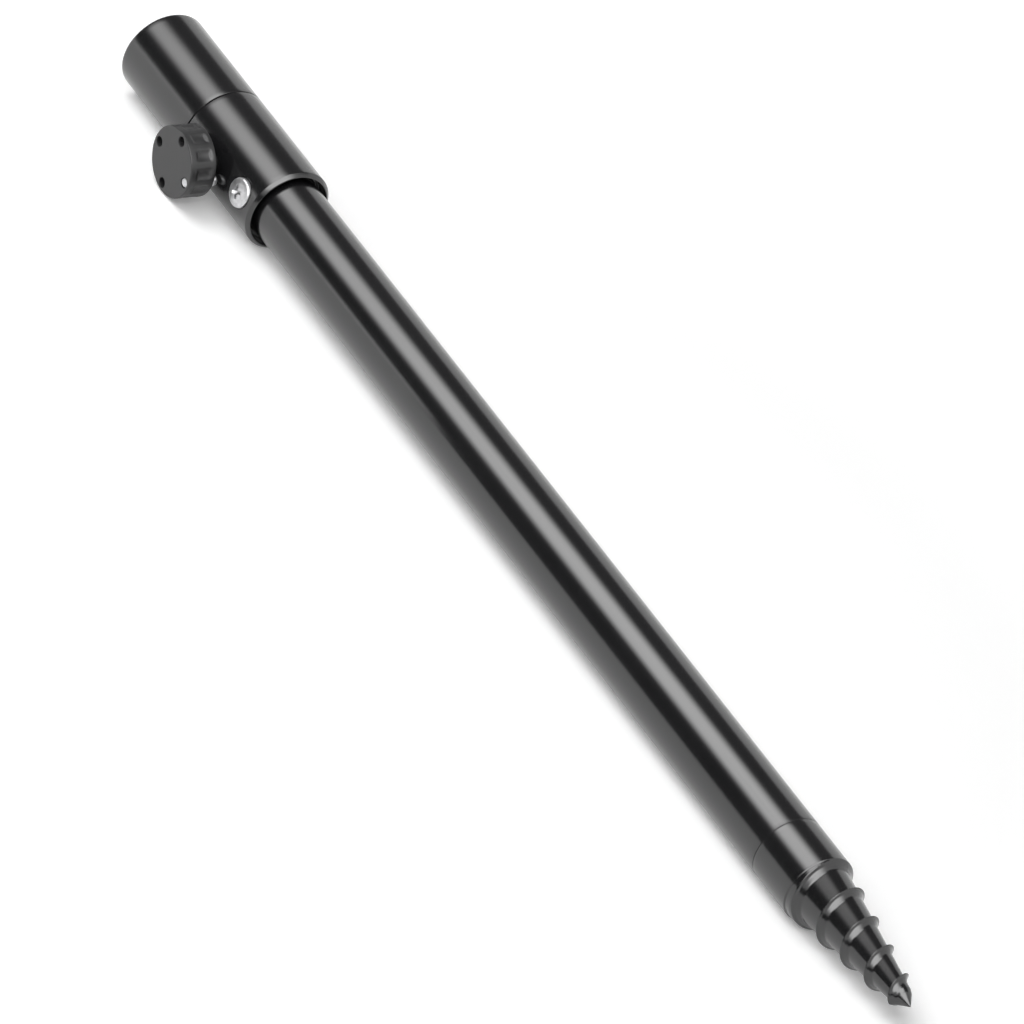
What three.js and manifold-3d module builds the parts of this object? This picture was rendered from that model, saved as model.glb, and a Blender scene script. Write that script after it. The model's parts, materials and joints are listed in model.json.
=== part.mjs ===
import * as THREE from "three";
import { mergeVertices } from "three/addons/utils/BufferGeometryUtils.js";
import Module from "manifold-3d";

// Telescopic bank stick with a screw point, in millimetres, closed to its shortest length.
// It lies along X with the point towards +X. The clamp knob hangs low on the -Y side, so that the
// head, the collar and the rim of the knob all touch the plane Z = 0.

// Outer tube
const tubeDiameter = 16;
const tubeWall = 1;
const tubeShownLength = 208.5;

// Inner tube, which slides in the outer one
const innerGap = 0.65;
const innerWall = 1;
const bottomGap = 1.2;

// Head and clamp collar, both this much proud of the outer tube
const collarStep = 2;
const headLength = 28;
const headRound = 0.9;
const headWebThickness = 1.8;
const collarLength = 29;
const rimWidth = 1;
const rimRound = 0.55;
const reliefDepth = 3;
const edgeChamfer = 0.25;

// Threaded insert in the head
const threadHoleDiameter = 8.26;
const insertWall = 1.9;
const insertLength = 12;
const insertChamfer = 0.6;

// Bush in the mouth of the collar
const bushWall = 1.2;
const bushLength = 5;

// Plug and split ring at the lower end of the inner tube
const plugSpigotLength = 8;
const plugFlangeLength = 1.6;
const ringLength = 8;
const ringWall = 1.25;
const ringSplit = 1.5;

// Clamp knob, with its screw, its pin and the pad that presses on the inner tube
const clampFromBush = 4;
const clampToStop = 3.25;
const knobDiameter = 15.6;
const knobThickness = 6.3;
const knobEdge = 0.35;
const knobGap = 1.9;
const fluteCount = 12;
const fluteWidth = 2.6;
const fluteDepth = 0.5;
const fluteFromFace = 1.3;
const fluteFromBack = 0.7;
const knobHoleCount = 4;
const knobHoleDiameter = 2.2;
const knobHoleInset = 1.65;
const knobHoleTurn = -8.5;
const pinHeadDiameter = 2.5;
const pinStandOut = 1.5;
const clampScrewDiameter = 5;
const clampScrewSeat = 4.2;
const clampScrewChamfer = 0.5;
const padThickness = 1.2;

// Screw that fixes the collar to the outer tube
const fixingFromRim = 5.6;
const fixingTurn = -11.5;
const fixingShankDiameter = 4;
const fixingHeadDiameter = 6.5;
const fixingHeadEdge = 0.7;
const fixingDome = 0.9;
const recessLength = 3.6;
const recessWidth = 0.9;
const recessDepth = 1.1;

// Screw point: a spigot in the tube, a plain band, a short taper, a threaded cone and a nose
const spigotLength = 12;
const spigotChamfer = 0.8;
const bandLength = 12;
const taperLength = 0.9;
const taperDepth = 0.95;
const shoulderLength = 0.8;
const coneStartDiameter = 13;
const coneEndDiameter = 4.4;
const coneLength = 30.4;
const noseShoulderLength = 0.9;
const noseShoulderDiameter = 3.6;
const noseLength = 2.6;

// Thread of the screw point, right-handed, with the turn in degrees where it starts
const threadTurns = 4.56;
const threadLead = 1.1;
const threadStopShort = 2.8;
const threadStartTurn = 52;
const threadFadeTurns = 0.1;
const threadWidth = 2.5;
const threadHeight = 1.1;

// Outline of the thread as shares of its width and height: steep towards the head, hollow and easy
// towards the point, with its foot inside the cone
const threadOutlineShares = [
  [-0.2, -0.5],
  [-0.1, 0.8],
  [-0.04, 1],
  [0.05, 1],
  [0.22, 0.6],
  [0.45, 0.32],
  [0.8, 0.1],
  [1.05, -0.1],
];
const fadeSinkShare = 0.25;

// Clearances
const seamGap = 0.3;
const seatGap = 0.3;
const slideGap = 0.25;
const fitGap = 0.2;
const ringGap = 0.15;
const jointGap = 0.1;
const overrun = 2;

// Facets
const roundSides = 56;
const hiddenSides = 40;
const smallSides = 24;
const threadSteps = 28;
const arcSteps = 4;
const knobSides = 4 * fluteCount;

// Radii
const tubeRadius = tubeDiameter / 2;
const tubeBore = tubeRadius - tubeWall;
const innerRadius = tubeBore - innerGap;
const innerBore = innerRadius - innerWall;
const bodyRadius = tubeRadius + collarStep;
const collarBore = innerRadius + slideGap;
const bushBore = innerRadius + ringGap;
const bushRadius = bushBore + bushWall;
const insertBore = threadHoleDiameter / 2;
const insertRadius = insertBore + insertWall;
const ringRadius = tubeBore - ringGap;
const ringBore = ringRadius - ringWall;
const knobRadius = knobDiameter / 2;
const clampScrewRadius = clampScrewDiameter / 2;
const padRadius = clampScrewRadius - ringGap;
const knobHoleRadius = knobHoleDiameter / 2;
const knobHoleCircleRadius = knobRadius - knobHoleInset;
const fluteHalf = fluteWidth / 2;
const fluteSag = fluteDepth - knobRadius + Math.sqrt(knobRadius ** 2 - fluteHalf ** 2);
const fluteRadius = (fluteHalf ** 2 + fluteSag ** 2) / (2 * fluteSag);
const fixingShankRadius = fixingShankDiameter / 2;
const fixingHeadRadius = fixingHeadDiameter / 2;

// Places along the stick, from the end of the head
const collarStart = headLength + seamGap;
const bushEnd = collarStart + bushLength;
const clampPlace = bushEnd + clampFromBush;
const collarStop = clampPlace + clampScrewRadius + slideGap + clampToStop;
const tubeStart = collarStop + fitGap;
const collarEnd = collarStart + collarLength;
const fixingPlace = collarEnd - fixingFromRim;
const tubeEnd = collarEnd + tubeShownLength;
const pointStart = tubeEnd + jointGap;
const bandEnd = pointStart + bandLength;
const taperEnd = bandEnd + taperLength;
const coneStart = taperEnd + shoulderLength;
const coneEnd = coneStart + coneLength;
const noseStart = coneEnd + noseShoulderLength;
const overallLength = noseStart + noseLength;
const threadFrom = bandEnd - threadLead;
const threadTo = overallLength - threadStopShort;
const spigotEnd = pointStart - spigotLength;
const plugEnd = spigotEnd - bottomGap;
const innerEnd = plugEnd - plugFlangeLength - ringLength - 2 * seatGap;
const insertFloor = insertLength + fitGap;
const socketFloor = insertFloor + headWebThickness;
const innerStart = socketFloor + fitGap;

// Distances out from the stick's axis, along the clamp screw and the fixing screw
const padFace = innerRadius + seatGap;
const padBack = padFace + padThickness;
const knobBack = bodyRadius + knobGap;
const knobFace = knobBack + knobThickness;
const fixingSeat = Math.sqrt(bodyRadius ** 2 - (fixingHeadRadius + seatGap) ** 2);

// The clamp droops until the knob's rim is as low as the collar
const clampTurn = Math.asin(bodyRadius / Math.hypot(knobFace, knobRadius)) - Math.atan2(knobRadius, knobFace);
const fixingAngle = clampTurn + THREE.MathUtils.degToRad(fixingTurn);
const sideReach = knobFace * Math.cos(clampTurn) + knobRadius * Math.sin(clampTurn);

const wasm = await Module();
wasm.setup();

// A geometry as a closed solid: shared corners are joined and faces without area are dropped.
function toSolid(geometry) {
  const bare = geometry.clone();
  bare.deleteAttribute("normal");
  bare.deleteAttribute("uv");
  const joined = mergeVertices(bare);
  const corners = joined.index.array;
  const faces = [];
  for (let i = 0; i < corners.length; i += 3) {
    const [a, b, c] = corners.slice(i, i + 3);
    if (a !== b && b !== c && c !== a) faces.push(a, b, c);
  }
  const mesh = new wasm.Mesh({
    numProp: 3,
    vertProperties: new Float32Array(joined.attributes.position.array),
    triVerts: new Uint32Array(faces),
  });
  return new wasm.Manifold(mesh);
}

// A solid as a geometry with flat faces.
function toGeometry(solid) {
  const mesh = solid.getMesh();
  const geometry = new THREE.BufferGeometry();
  geometry.setAttribute("position", new THREE.BufferAttribute(new Float32Array(mesh.vertProperties), 3));
  geometry.setIndex(new THREE.BufferAttribute(new Uint32Array(mesh.triVerts), 1));
  geometry.computeVertexNormals();
  return geometry;
}

// The body with the cutters taken away.
function cut(body, ...cutters) {
  let solid = toSolid(body);
  for (const cutter of cutters) {
    solid = solid.subtract(toSolid(cutter));
  }
  return toGeometry(solid);
}

// A form turned about the stick's axis from [place along X, radius] pairs. The outline runs
// towards +X on the outside and back on the inside.
function turned(outline, sides) {
  const points = outline.map(([along, radius]) => new THREE.Vector2(radius, along));
  return new THREE.LatheGeometry(points, sides).rotateZ(-Math.PI / 2);
}

// A form turned about Z from [height, radius] pairs, for the screws, the pin and the pad.
function turnedUp(outline, sides) {
  const points = outline.map(([height, radius]) => new THREE.Vector2(radius, height));
  return new THREE.LatheGeometry(points, sides).rotateX(Math.PI / 2);
}

// A plain round rod along Z.
function rod(radius, from, to, sides) {
  return turnedUp([[from, 0], [from, radius], [to, radius], [to, 0]], sides);
}

// A round cutter that points away from the stick's axis, low on the -Y side by the turn.
function radialCutter(radius, from, to, place, turn) {
  return rod(radius, from, to, smallSides).rotateX(Math.PI / 2 + turn).translate(place, 0, 0);
}

// Points of a quarter round from one direction to the next, in degrees.
function roundedCorner(centreAlong, centreRadius, round, fromTurn, toTurn) {
  const points = [];
  for (let i = 0; i <= arcSteps; i++) {
    const angle = THREE.MathUtils.degToRad(fromTurn + ((toTurn - fromTurn) * i) / arcSteps);
    points.push([centreAlong + round * Math.cos(angle), centreRadius + round * Math.sin(angle)]);
  }
  return points;
}

function outerTube() {
  const pipe = turned([
    [tubeStart, tubeBore],
    [tubeStart, tubeRadius - edgeChamfer],
    [tubeStart + edgeChamfer, tubeRadius],
    [tubeEnd - edgeChamfer, tubeRadius],
    [tubeEnd, tubeRadius - edgeChamfer],
    [tubeEnd, tubeBore],
    [tubeStart, tubeBore],
  ], roundSides);
  const hole = radialCutter(fixingShankRadius + fitGap, 0, bodyRadius, fixingPlace, fixingAngle);
  return cut(pipe, hole);
}

function clampCollar() {
  const bushSeat = bushRadius + fitGap;
  const tubeSeat = tubeRadius + fitGap;
  const relief = bodyRadius - rimWidth;
  const body = turned([
    [collarStart, bushSeat],
    [collarStart, bodyRadius - edgeChamfer],
    [collarStart + edgeChamfer, bodyRadius],
    ...roundedCorner(collarEnd - rimRound, bodyRadius - rimRound, rimRound, 90, 0),
    [collarEnd, relief],
    [collarEnd - reliefDepth, relief],
    [collarEnd - reliefDepth, tubeSeat],
    [collarStop, tubeSeat],
    [collarStop, collarBore],
    [bushEnd + fitGap, collarBore],
    [bushEnd + fitGap, bushSeat],
    [collarStart, bushSeat],
  ], roundSides);
  const out = bodyRadius + overrun;
  const clampHole = radialCutter(clampScrewRadius + slideGap, 0, out, clampPlace, clampTurn);
  const fixingHole = radialCutter(fixingShankRadius + fitGap, 0, out, fixingPlace, fixingAngle);
  const fixingSpot = radialCutter(fixingHeadRadius + seatGap, fixingSeat, out, fixingPlace, fixingAngle);
  return cut(body, clampHole, fixingHole, fixingSpot);
}

function collarBush() {
  return turned([
    [collarStart, bushBore],
    [collarStart, bushRadius],
    [bushEnd, bushRadius],
    [bushEnd, bushBore],
    [collarStart, bushBore],
  ], hiddenSides);
}

// Domed screw with a cross recess. Its shank stops short of the bore of the outer tube.
function collarScrew() {
  const shankEnd = tubeBore + fitGap;
  const underHead = fixingSeat + jointGap;
  const domeStart = underHead + fixingHeadEdge;
  const outline = [[shankEnd, 0], [shankEnd, fixingShankRadius], [underHead, fixingShankRadius]];
  outline.push([underHead, fixingHeadRadius]);
  for (let i = 0; i <= arcSteps; i++) {
    const angle = ((Math.PI / 2) * i) / arcSteps;
    outline.push([domeStart + fixingDome * Math.sin(angle), fixingHeadRadius * Math.cos(angle)]);
  }
  outline[outline.length - 1][1] = 0;
  const top = domeStart + fixingDome;
  const slot = new THREE.BoxGeometry(recessLength, recessWidth, 2 * recessDepth).translate(0, 0, top);
  const crossSlot = slot.clone().rotateZ(Math.PI / 2);
  return cut(turnedUp(outline, hiddenSides), slot, crossSlot);
}

// Cone and nose as [place along X, radius] pairs, for the core and for the thread that rides on it.
const pointOutline = [
  [coneStart, coneStartDiameter / 2],
  [coneEnd, coneEndDiameter / 2],
  [noseStart, noseShoulderDiameter / 2],
  [overallLength, 0],
];

// Radius of the cone and nose at a place along X, level before the cone and none past the tip.
function coreRadiusAt(along) {
  if (along >= overallLength) return 0;
  const next = pointOutline.findIndex(([place]) => along <= place);
  if (next === 0) return pointOutline[0][1];
  const [from, fromRadius] = pointOutline[next - 1];
  const [to, toRadius] = pointOutline[next];
  return THREE.MathUtils.mapLinear(along, from, to, fromRadius, toRadius);
}

// One thread outline carried round a rising helix, which grows out of the cone and sinks back.
function pointThread() {
  const corners = threadOutlineShares.length;
  const rings = Math.round(threadTurns * threadSteps);
  const start = THREE.MathUtils.degToRad(threadStartTurn);
  const positions = [];
  for (let ring = 0; ring <= rings; ring++) {
    const turn = (threadTurns * ring) / rings;
    const middle = THREE.MathUtils.lerp(threadFrom, threadTo, ring / rings);
    const angle = start + 2 * Math.PI * turn;
    const grown = Math.min(1, (threadTurns - turn) / threadFadeTurns);
    for (const [widthShare, heightShare] of threadOutlineShares) {
      const along = middle + widthShare * threadWidth;
      const rise = heightShare < 0 ? heightShare : heightShare * grown - fadeSinkShare * (1 - grown);
      const radius = Math.max(0, coreRadiusAt(along) + rise * threadHeight);
      positions.push(along, radius * Math.cos(angle), radius * Math.sin(angle));
    }
  }
  const faces = [];
  for (let ring = 0; ring < rings; ring++) {
    for (let i = 0; i < corners; i++) {
      const a = ring * corners + i;
      const b = ring * corners + ((i + 1) % corners);
      faces.push(a, a + corners, b, b, a + corners, b + corners);
    }
  }
  const last = rings * corners;
  for (let i = 1; i < corners - 1; i++) {
    faces.push(0, i, i + 1);
    faces.push(last, last + i + 1, last + i);
  }
  const geometry = new THREE.BufferGeometry();
  geometry.setAttribute("position", new THREE.Float32BufferAttribute(positions, 3));
  geometry.setIndex(faces);
  return geometry;
}

function screwPoint() {
  const spigotRadius = tubeBore - fitGap;
  const core = turned([
    [spigotEnd, 0],
    [spigotEnd, spigotRadius - spigotChamfer],
    [spigotEnd + spigotChamfer, spigotRadius],
    [pointStart, spigotRadius],
    [pointStart, tubeRadius - edgeChamfer],
    [pointStart + edgeChamfer, tubeRadius],
    [bandEnd, tubeRadius],
    [taperEnd, tubeRadius - taperDepth],
    ...pointOutline,
  ], roundSides);
  return toGeometry(toSolid(core).add(toSolid(pointThread())));
}

function innerTube() {
  return turned([
    [innerStart, innerBore],
    [innerStart, innerRadius],
    [innerEnd, innerRadius],
    [innerEnd, innerBore],
    [innerStart, innerBore],
  ], roundSides);
}

// Head: a blind seat for the insert at the top and a blind socket for the inner tube below.
function stickHead() {
  const insertSeat = insertRadius + fitGap;
  const tubeSocket = innerRadius + fitGap;
  return turned([
    [insertFloor, 0],
    [insertFloor, insertSeat],
    [0, insertSeat],
    ...roundedCorner(headRound, bodyRadius - headRound, headRound, 180, 90),
    [headLength - edgeChamfer, bodyRadius],
    [headLength, bodyRadius - edgeChamfer],
    [headLength, tubeSocket],
    [socketFloor, tubeSocket],
    [socketFloor, 0],
  ], roundSides);
}

function threadInsert() {
  return turned([
    [0, insertBore + insertChamfer],
    [0, insertRadius],
    [insertLength, insertRadius],
    [insertLength, insertBore],
    [insertChamfer, insertBore],
    [0, insertBore + insertChamfer],
  ], hiddenSides);
}

function innerPlug() {
  const spigotRadius = innerBore - fitGap;
  const neckRadius = ringBore - fitGap;
  const flangeStart = plugEnd - plugFlangeLength;
  return turned([
    [innerEnd - plugSpigotLength, 0],
    [innerEnd - plugSpigotLength, spigotRadius],
    [innerEnd + jointGap, spigotRadius],
    [innerEnd + jointGap, neckRadius],
    [flangeStart, neckRadius],
    [flangeStart, innerRadius],
    [plugEnd, innerRadius],
    [plugEnd, 0],
  ], hiddenSides);
}

function guideRing() {
  const start = innerEnd + seatGap;
  const band = turned([
    [start, ringBore],
    [start, ringRadius],
    [start + ringLength, ringRadius],
    [start + ringLength, ringBore],
    [start, ringBore],
  ], hiddenSides);
  const split = new THREE.BoxGeometry(ringLength + 2 * overrun, ringSplit, ringRadius + overrun);
  return cut(band, split.translate(start + ringLength / 2, 0, (ringRadius + overrun) / 2));
}

// Cutter of one shallow flute of the knob, which stops short of both its faces.
function fluteCutter(number) {
  const cutter = rod(fluteRadius, knobBack + fluteFromBack, knobFace - fluteFromFace, smallSides);
  const turn = (2 * Math.PI * (number + 0.5)) / fluteCount;
  return cutter.translate(knobRadius - fluteDepth + fluteRadius, 0, 0).rotateZ(turn);
}

// Centre of a hole of the knob, numbered round its hole circle.
function knobHole(number) {
  const turn = THREE.MathUtils.degToRad(knobHoleTurn + (360 * number) / knobHoleCount);
  return [knobHoleCircleRadius * Math.cos(turn), knobHoleCircleRadius * Math.sin(turn)];
}

// Fluted knob with four through holes and a blind hole for the clamp screw in its back.
function clampKnob() {
  const edgeRadius = knobRadius - knobEdge;
  const blank = turnedUp([
    [knobBack, 0],
    ...roundedCorner(knobBack + knobEdge, edgeRadius, knobEdge, 180, 90),
    ...roundedCorner(knobFace - knobEdge, edgeRadius, knobEdge, 90, 0),
    [knobFace, 0],
  ], knobSides);
  const from = knobBack - overrun;
  const cutters = [rod(clampScrewRadius + fitGap, from, knobBack + clampScrewSeat, hiddenSides)];
  for (let number = 0; number < knobHoleCount; number++) {
    const [x, y] = knobHole(number);
    cutters.push(rod(knobHoleRadius, from, knobFace + overrun, smallSides).translate(x, y, 0));
  }
  for (let number = 0; number < fluteCount; number++) {
    cutters.push(fluteCutter(number));
  }
  return cut(blank, ...cutters);
}

function clampScrew() {
  const inner = padBack + fitGap;
  const outer = knobBack + clampScrewSeat - fitGap;
  return turnedUp([
    [inner, 0],
    [inner, clampScrewRadius - clampScrewChamfer],
    [inner + clampScrewChamfer, clampScrewRadius],
    [outer, clampScrewRadius],
    [outer, 0],
  ], hiddenSides);
}

// Pin in the first hole of the knob, flush with its face, with a small head behind its back.
function knobPin() {
  const radius = knobHoleRadius - jointGap;
  const headRadius = pinHeadDiameter / 2;
  const from = knobBack - pinStandOut;
  const headTop = knobBack - seatGap;
  const to = knobFace - jointGap;
  const outline = [
    [from, 0],
    [from, headRadius - edgeChamfer],
    [from + edgeChamfer, headRadius],
    [headTop, headRadius],
    [headTop, radius],
    [to, radius],
    [to, 0],
  ];
  const [x, y] = knobHole(0);
  return turnedUp(outline, smallSides).translate(x, y, 0);
}

// Pad with a hollow face that fits the inner tube.
function pressurePad() {
  const saddleLength = 2 * (padRadius + overrun);
  const saddle = new THREE.CylinderGeometry(padFace, padFace, saddleLength, roundSides);
  return cut(rod(padRadius, innerRadius, padBack, hiddenSides), saddle.rotateZ(Math.PI / 2));
}

function finish(color, roughness, metalness) {
  return new THREE.MeshStandardMaterial({ color, roughness, metalness });
}

function addPiece(group, name, geometry, material) {
  const mesh = new THREE.Mesh(geometry, material);
  mesh.name = name;
  group.add(mesh);
}

// A group whose Z axis points away from the stick's axis, low on the -Y side by the turn.
function radialGroup(place, turn) {
  const group = new THREE.Group();
  group.position.set(place, 0, 0);
  group.rotation.x = Math.PI / 2 + turn;
  return group;
}

const glossBlack = finish(0x141416, 0.22, 0.9);
const satinBlack = finish(0x2a2b2d, 0.5, 0.6);
const brightSteel = finish(0xc4c6c8, 0.28, 1);
const brass = finish(0xb59a56, 0.35, 1);
const blackNylon = finish(0x1d1d1f, 0.6, 0);
const whiteNylon = finish(0xd9d8d2, 0.55, 0);

const stick = new THREE.Group();
stick.position.set(-overallLength / 2, (sideReach - bodyRadius) / 2, bodyRadius);

addPiece(stick, "outer_tube", outerTube(), glossBlack);
addPiece(stick, "clamp_collar", clampCollar(), glossBlack);
addPiece(stick, "collar_bush", collarBush(), blackNylon);
addPiece(stick, "screw_point", screwPoint(), glossBlack);
addPiece(stick, "inner_tube", innerTube(), glossBlack);
addPiece(stick, "stick_head", stickHead(), glossBlack);
addPiece(stick, "thread_insert", threadInsert(), brass);
addPiece(stick, "inner_plug", innerPlug(), blackNylon);
addPiece(stick, "guide_ring", guideRing(), whiteNylon);

const clamp = radialGroup(clampPlace, clampTurn);
addPiece(clamp, "pressure_pad", pressurePad(), whiteNylon);
addPiece(clamp, "clamp_screw", clampScrew(), brightSteel);
addPiece(clamp, "clamp_knob", clampKnob(), satinBlack);
addPiece(clamp, "knob_pin", knobPin(), brightSteel);
stick.add(clamp);

const fixing = radialGroup(fixingPlace, fixingAngle);
addPiece(fixing, "collar_screw", collarScrew(), brightSteel);
stick.add(fixing);

export default stick;
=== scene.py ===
"""Looks of a telescopic bank stick with a screw point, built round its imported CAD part."""

import json
import math

import bmesh
import bpy
import numpy as np
from mathutils import Matrix, Vector

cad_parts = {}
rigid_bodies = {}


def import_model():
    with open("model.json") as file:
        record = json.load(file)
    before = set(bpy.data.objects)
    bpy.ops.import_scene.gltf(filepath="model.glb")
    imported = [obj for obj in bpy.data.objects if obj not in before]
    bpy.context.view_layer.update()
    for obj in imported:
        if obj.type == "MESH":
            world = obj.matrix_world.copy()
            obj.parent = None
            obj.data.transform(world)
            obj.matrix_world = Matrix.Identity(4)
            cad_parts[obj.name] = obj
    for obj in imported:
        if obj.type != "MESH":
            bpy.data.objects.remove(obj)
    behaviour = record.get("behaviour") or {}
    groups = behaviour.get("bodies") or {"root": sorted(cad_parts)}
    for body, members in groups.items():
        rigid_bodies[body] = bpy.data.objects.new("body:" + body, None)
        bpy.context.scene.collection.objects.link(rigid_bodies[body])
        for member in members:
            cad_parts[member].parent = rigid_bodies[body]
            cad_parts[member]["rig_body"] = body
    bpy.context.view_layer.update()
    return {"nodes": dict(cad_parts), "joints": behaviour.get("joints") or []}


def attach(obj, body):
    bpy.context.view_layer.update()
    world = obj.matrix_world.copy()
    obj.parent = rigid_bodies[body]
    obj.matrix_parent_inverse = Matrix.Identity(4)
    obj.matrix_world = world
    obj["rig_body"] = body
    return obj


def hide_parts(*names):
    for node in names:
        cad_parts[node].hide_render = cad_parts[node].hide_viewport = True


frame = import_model()

MM = 0.001
NODES = frame["nodes"]
JOINTS = {joint["name"]: joint for joint in frame["joints"]}

# Facets
ROUND_SIDES = 192
THREAD_SIDES = 128
SMALL_SIDES = 64
ARC_STEPS = 6
SHARP_ANGLE = math.radians(32)

# Most of a side that one rounding may take
ARC_REACH = 0.45

# Distance out below which a ring is a single point
TINY = 1e-7

# Distance between the rings of long turned faces, and one so long that none are added
RING_STEP = 1 * MM
NO_RINGS_BETWEEN = 1.0

# Roundings of turned edges
JOINT_EDGE = 0.08 * MM
FINE_EDGE = 0.12 * MM
SOFT_EDGE = 0.25 * MM
HEAD_EDGE = 0.9 * MM
SPIGOT_EDGE = 4 * FINE_EDGE

# Clearances between pieces, as the CAD part has them
FIT_GAP = 0.2 * MM
SEAT_GAP = 0.3 * MM
SLIDE_GAP = 0.25 * MM
JOINT_GAP = 0.1 * MM

# How far a cutter runs past what it cuts
OVERRUN = 2 * MM


class Axis:
    """A line along which forms are turned, with two directions square to it."""

    def __init__(self, origin, along, side):
        self.origin = Vector(origin)
        self.along = Vector(along).normalized()
        self.side = Vector(side).normalized()
        self.up = self.along.cross(self.side)

    def matrix(self):
        turn = Matrix((self.along, self.side, self.up)).transposed().to_4x4()
        return Matrix.Translation(self.origin) @ turn

    def reach(self, node):
        """Where a CAD node starts and ends along the axis, and its least and most distance out."""
        points = [vertex.co - self.origin for vertex in NODES[node].data.vertices]
        along = [point.dot(self.along) for point in points]
        out = [(point - point.dot(self.along) * self.along).length for point in points]
        return min(along), max(along), min(out), max(out)


def middle_of(node):
    """Mean of a CAD node's corners."""
    corners = NODES[node].data.vertices
    return sum((vertex.co for vertex in corners), Vector()) / len(corners)


STICK = Axis(JOINTS["swivel"]["pos_m"], JOINTS["swivel"]["axis"], (0, 1, 0))
CLAMP = Axis(JOINTS["clamp_turn"]["pos_m"], JOINTS["clamp_turn"]["axis"], (1, 0, 0))

screw_middle = middle_of("collar_screw")
screw_foot = Vector((screw_middle.x, STICK.origin.y, STICK.origin.z))
FIXING = Axis(screw_foot, screw_middle - screw_foot, (1, 0, 0))


def rounded(corners):
    """Points of an outline through [along, out, rounding] corners, with an arc at each rounding."""
    points = []
    for i, (along, out, rounding) in enumerate(corners):
        corner = Vector((along, out))
        if not rounding:
            points.append(corner)
            continue
        before = Vector(corners[i - 1][:2]) - corner
        after = Vector(corners[(i + 1) % len(corners)][:2]) - corner
        half = before.angle(after) / 2
        room = ARC_REACH * min(before.length, after.length)
        run = min(rounding / math.tan(half), room)
        before.normalize()
        after.normalize()
        centre = corner + (before + after).normalized() * run / math.cos(half)
        first = corner + before * run - centre
        last = corner + after * run - centre
        sweep = math.pi - 2 * half
        for step in range(ARC_STEPS + 1):
            share = step / ARC_STEPS
            first_part = math.sin((1 - share) * sweep) * first
            last_part = math.sin(share * sweep) * last
            points.append(centre + (first_part + last_part) / math.sin(sweep))
    return points


def eased(share):
    """A share from 0 to 1 with an easy start and end."""
    return share * share * (3 - 2 * share)


def placed(name, mesh, matrix):
    """A new object of a mesh that was built along an axis, turned and moved to its place."""
    mesh.transform(matrix)
    data = bpy.data.meshes.new(name)
    mesh.to_mesh(data)
    mesh.free()
    piece = bpy.data.objects.new(name, data)
    bpy.context.scene.collection.objects.link(piece)
    return piece


def revolved(name, axis, rings, sides=ROUND_SIDES):
    """A closed form through rings round an axis. A ring is a place along it and a distance out from
    it, either one for the whole turn or one for each side."""
    turns = np.arange(sides) * 2 * math.pi / sides
    mesh = bmesh.new()
    made = []
    for along, out in rings:
        out = np.broadcast_to(out, (sides,))
        if out.max() < TINY:
            made.append([mesh.verts.new((along, 0, 0))])
            continue
        places = zip(out * np.cos(turns), out * np.sin(turns))
        made.append([mesh.verts.new((along, side, up)) for side, up in places])
    for first, second in zip(made, made[1:] + made[:1]):
        if len(first) == 1 and len(second) == 1:
            continue
        for i in range(sides):
            j = (i + 1) % sides
            corners = (
                first[i % len(first)],
                first[j % len(first)],
                second[j % len(second)],
                second[i % len(second)],
            )
            mesh.faces.new(list(dict.fromkeys(corners)))
    bmesh.ops.recalc_face_normals(mesh, faces=mesh.faces)
    return placed(name, mesh, axis.matrix())


def spaced(points, step):
    """The points of an outline, with more between those that are further apart than a step."""
    made = [points[0]]
    for before, after in zip(points, points[1:]):
        parts = max(1, math.ceil((after - before).length / step))
        made += [before.lerp(after, part / parts) for part in range(1, parts + 1)]
    return made


def turned(name, axis, corners, sides=ROUND_SIDES, step=RING_STEP):
    """A closed turned form with rounded corners."""
    points = spaced(rounded(corners), step)
    return revolved(name, axis, [(point.x, point.y) for point in points], sides)


def carved(piece, *cutters):
    """The piece with the cutters taken away from its mesh."""
    for cutter in cutters:
        cut = piece.modifiers.new("cut", "BOOLEAN")
        cut.object = cutter
        cut.solver = "EXACT"
    depsgraph = bpy.context.evaluated_depsgraph_get()
    data = bpy.data.meshes.new_from_object(piece.evaluated_get(depsgraph))
    piece.modifiers.clear()
    piece.data = data
    for cutter in cutters:
        bpy.data.objects.remove(cutter)
    return piece


def dress(piece, node, material):
    """Puts a piece in place of its CAD node: smooth, in its material, riding on the node's body."""
    piece.data.materials.clear()
    piece.data.materials.append(material)
    piece.data.shade_smooth()
    piece.data.set_sharp_from_angle(angle=SHARP_ANGLE)
    weigh = piece.modifiers.new("even normals", "WEIGHTED_NORMAL")
    weigh.keep_sharp = True
    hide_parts(node)
    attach(piece, NODES[node]["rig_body"])


# Range of a noise's factor that holds most of it
NOISE_RANGE = (0.3, 0.7)

# Sockets of the Mix node for two colours and their mixture
MIX_LOW, MIX_HIGH, MIXED = 6, 7, 2


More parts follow.
